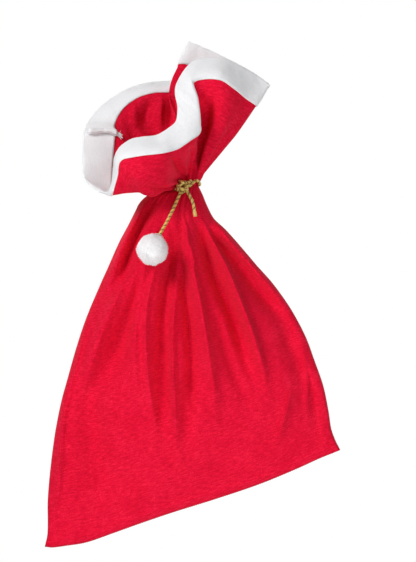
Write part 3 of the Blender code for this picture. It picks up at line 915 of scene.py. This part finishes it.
def neck_ring(angle, scale, lift):
    """Points round the tied neck. The ring lies in the cord's tilted plane."""
    x, y = scale * NECK_X * np.cos(angle), scale * NECK_Y * np.sin(angle)
    flat = np.stack([x, y, x * math.tan(LOOP_TILT)], axis=-1)
    return flat + NECK_AXIS * np.broadcast_to(lift, angle.shape)[:, None]


def mouth_grid():
    """The whole mouth as one closed loop of cloth, rows from the cord up to the rim."""
    columns = np.array(FRONT_COLUMNS + BACK_COLUMNS, float) * MM
    nearer = ((columns[..., 1] - EYE[1]) / -EYE[1])[..., None]
    columns[..., [0, 2]] = EYE[[0, 2]] + (columns[..., [0, 2]] - EYE[[0, 2]]) * nearer
    front, back = len(FRONT_COLUMNS) - 1, len(BACK_COLUMNS) + 1
    angles = np.concatenate([math.pi + math.pi * np.arange(front) / front,
                             TAU + math.pi * np.arange(back) / back])
    droop = np.exp(-((angles - math.radians(196)) / math.radians(34)) ** 2)  # towards the left
    low = neck_ring(angles, 0.86, 1 * MM)
    next_up = neck_ring(angles, 1.22 + 0.9 * droop, (17 - 12 * droop) * MM)
    net = np.stack([low, next_up, columns[:, 0], columns[:, 1], columns[:, 2]], axis=1)
    u = np.arange(MOUTH_ACROSS) / MOUTH_ACROSS
    fine = catmull(net, u, closed=True)
    stations = np.concatenate([np.linspace(0, 0.75, JUNCTION_ROW + 1),
                               np.linspace(0.75, 1, MOUTH_UP - JUNCTION_ROW)[1:]])
    grid = catmull(fine.transpose(1, 0, 2), stations)
    return grid, u


def relax(grid, rounds, keep):
    """Evens out a closed grid of cloth a little, moving each point towards its neighbours. keep is how
    firmly each row stays in place, from 0 to 1."""
    for _ in range(rounds):
        left, right = beside(grid)
        up = grid.copy()
        up[1:-1] = (grid[2:] + grid[:-2]) / 2
        target = ((right + left) / 2 + up) / 2
        grid = grid + (target - grid) * (1 - keep)[:, None, None]
    return grid


def pleat_height(around, number, most):
    """Height of so many even pleats that take up the cloth to spare in each row, up to a limit."""
    gather = np.maximum(ROUND_FLAT / around, 1.0)  # how many times longer the flat cloth is
    return np.minimum(around / number / TAU * np.sqrt(2 * (gather**2 - 1)), most)


def mouth_relief(grid, rows, u):
    """Height of the mouth's pleats, folds and creases over its smooth shape."""
    around = np.array([length_of(np.concatenate([row, row[:1]])) for row in grid])
    fine = pleat_height(around, FINE_PLEATS, 4.2 * MM) * (1 - smoothstep(rows, 0.18, 0.62))
    turns = FINE_PLEATS * u + 0.5 * np.sin(TAU * 5 * u) + 0.3 * np.sin(TAU * 11 * u + 1)
    pleats = np.cos(TAU * turns) * (1 + 0.35 * np.sin(TAU * 7 * u))
    broad = pleat_height(around, BROAD_FOLDS, 7.0 * MM)
    broad *= smoothstep(rows, 0.1, 0.35) * (1 - smoothstep(rows, 0.45, 0.74))
    folds = np.cos(TAU * BROAD_FOLDS * u + 2.2 * np.sin(TAU * 3 * u + 1))
    folds *= 0.45 + 0.55 * smoothstep(u, 0.56, 0.62)  # deeper behind
    height = fine[:, None] * pleats[None, :] + broad[:, None] * folds[None, :]
    ripple = waves(u[None, :] * ROUND_FLAT, rows[:, None] * COLLAR_FLAT, 0.12, 21)
    height += ripple * 1.0 * MM * smoothstep(rows, 0.1, 0.4)[:, None]
    fade = (1 - smoothstep(rows, 0.66, 0.84))[:, None] * smoothstep(rows, 0.03, 0.14)[:, None]
    flatter = (-EYE[1] / (grid[..., 1] - EYE[1]))[..., None]
    seen = EYE[[0, 2]] + (grid[..., [0, 2]] - EYE[[0, 2]]) * flatter
    for pick, creases in ((slice(0, RIGHT_SEAM), FRONT_CREASES), (slice(RIGHT_SEAM, None), BACK_CREASES)):
        height[:, pick] += line_folds(seen[:, pick, 0], seen[:, pick, 1], creases) * fade
    return height


def make_mouth():
    grid, u = mouth_grid()
    rows = np.linspace(0, 1, MOUTH_UP)
    grid = relax(grid, 6, np.where(rows < 0.05, 1.0, 0.5))
    centre = np.array((-20, 0, 90)) * MM
    grid = grid + outward(grid, centre) * mouth_relief(grid, rows, u)[..., None]
    normal = outward(grid, centre)

    halves = {"front": np.arange(0, RIGHT_SEAM + 1),
              "back": np.arange(RIGHT_SEAM, MOUTH_ACROSS + 1) % MOUTH_ACROSS}
    for word, pick in halves.items():
        cloth = grid[:-3][:, pick]
        red = grid_object(f"{word}_cloth_above_cord", cloth, (0.6, 0.225), RED)
        thicken(red, CLOTH * 0.8)
        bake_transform(red)
        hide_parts(f"{word}_panel_collar")

        band = band_grid(grid[:, pick], normal[:, pick], u[pick] * ROUND_FLAT)
        white = grid_object(f"{word}_band_cloth", band, (0.6, 0.115), WHITE)
        thicken(white, BAND_CLOTH)
        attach(white, "mouth")
        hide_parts(f"{word}_trim_band")

        line = grid[JUNCTION_ROW + 1][pick] + normal[JUNCTION_ROW + 1][pick] * 2.0 * MM
        sewn = stitches(f"{word}_band_stitches", line[3:-3], 4.0 * MM, 2.6 * MM, 0.4 * MM, WHITE_THREAD)
        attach(sewn, "mouth")
        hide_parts(f"{word}_band_topstitch")
    return grid, normal


def band_grid(grid, normal, arc):
    """The band: up the outside from its seam, over the rim, and down the inside."""
    cloth, out = grid[JUNCTION_ROW:], normal[JUNCTION_ROW:]
    off = 1.35 * MM  # how far it lies from the middle of the red cloth
    pucker = waves(arc[None, :], np.linspace(0, 0.06, len(cloth))[:, None] * 0.6, 0.045, 31) * 0.5 * MM
    lift = off + 0.25 * MM + np.maximum(pucker, -0.4 * MM)[..., None]
    up = grid[-1] - grid[-2]
    up /= np.linalg.norm(up, axis=1, keepdims=True)
    bend = off * 1.15
    turn = [grid[-1] + normal[-1] * math.cos(a) * bend + up * math.sin(a) * bend
            for a in np.radians((30, 60, 90, 120, 150))]
    return np.concatenate([cloth + out * lift, np.array(turn), (cloth - out * lift)[::-1]])


def make_tabs(grid, normal):
    """The band's side seams. Their turned-in edges make a soft double roll on the inside."""
    for word, column, size, half_width, stand in (
        ("left", 0, 1.0, 5.8, 8.5),
        ("right", RIGHT_SEAM, 0.4, 2.4, 17.0),
    ):
        spine = grid[JUNCTION_ROW - 1:, column]
        if word == "left":
            inward = -normal[JUNCTION_ROW + 4, column]
        else:
            near = [column - 14, column + 14]
            inward = grid[JUNCTION_ROW + 4, near].mean(axis=0) - grid[JUNCTION_ROW + 4, column]
        inward = inward / np.linalg.norm(inward)
        spine = even(spine + inward * stand * MM, 44)[:-3]
        run = spine[-1] - spine[0]
        across = np.cross(inward, run)
        across /= np.linalg.norm(across)
        inward = np.cross(run / np.linalg.norm(run), across)
        if inward.dot(spine[20] - grid[JUNCTION_ROW + 5, column]) < 0:
            inward = -inward
        around = 24
        a = np.linspace(0, TAU, around, endpoint=False)
        crease = 1 - 0.42 * np.exp(-((np.abs(a - math.pi / 2)) / 0.3) ** 2)
        vertices = []
        for k, middle in enumerate(spine):
            f = k / (len(spine) - 1)
            wide = size * half_width * MM * (1 + 0.10 * math.sin(7 * f + 1) + 0.05 * math.sin(19 * f))
            high = size * 7.0 * MM * (1 + 0.14 * math.sin(9 * f) + 0.07 * math.sin(23 * f))
            end = 0.35 + 0.65 * smoothstep(f, -0.02, 0.09) * smoothstep(1 - f, -0.03, 0.06)
            for q, dip in zip(a, crease):
                bulge = across * wide * math.cos(q) + inward * high * math.sin(q) * dip
                vertices.append(middle + bulge * end)
        uvs = [(i % around * 0.9 * MM, i // around * 1.4 * MM) for i in range(len(vertices))]
        parts = [(np.array(vertices), ring_faces(len(spine), around), np.array(uvs))]
        out = spine[0] - spine[4]
        out /= np.linalg.norm(out)
        for _ in range(26):  # frayed threads at the raw end
            shift = across * RANDOM.uniform(-3.4, 3.4) + inward * RANDOM.uniform(-1.2, 2.4)
            start = spine[0] + shift * size * MM
            drift = across * RANDOM.normal(0, 0.35) + inward * RANDOM.normal(0.15, 0.3)
            reach = RANDOM.uniform(4, 11) * size * MM
            thread = np.array([start + (out + drift * g) * reach * g for g in np.linspace(-0.2, 1, 7)])
            parts.append(tube_mesh(thread, np.linspace(0.75, 0.3, 7) * MM * size, 5))
        vertices, faces, uvs = join(parts)
        tab = new_object(f"{word}_band_seam_roll", vertices, faces, WHITE, uvs)
        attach(tab, "mouth")
        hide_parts(f"{word}_band_seam_tab")


make_stage()
make_cords()
make_body()
mouth, mouth_normal = make_mouth()
make_tabs(mouth, mouth_normal)
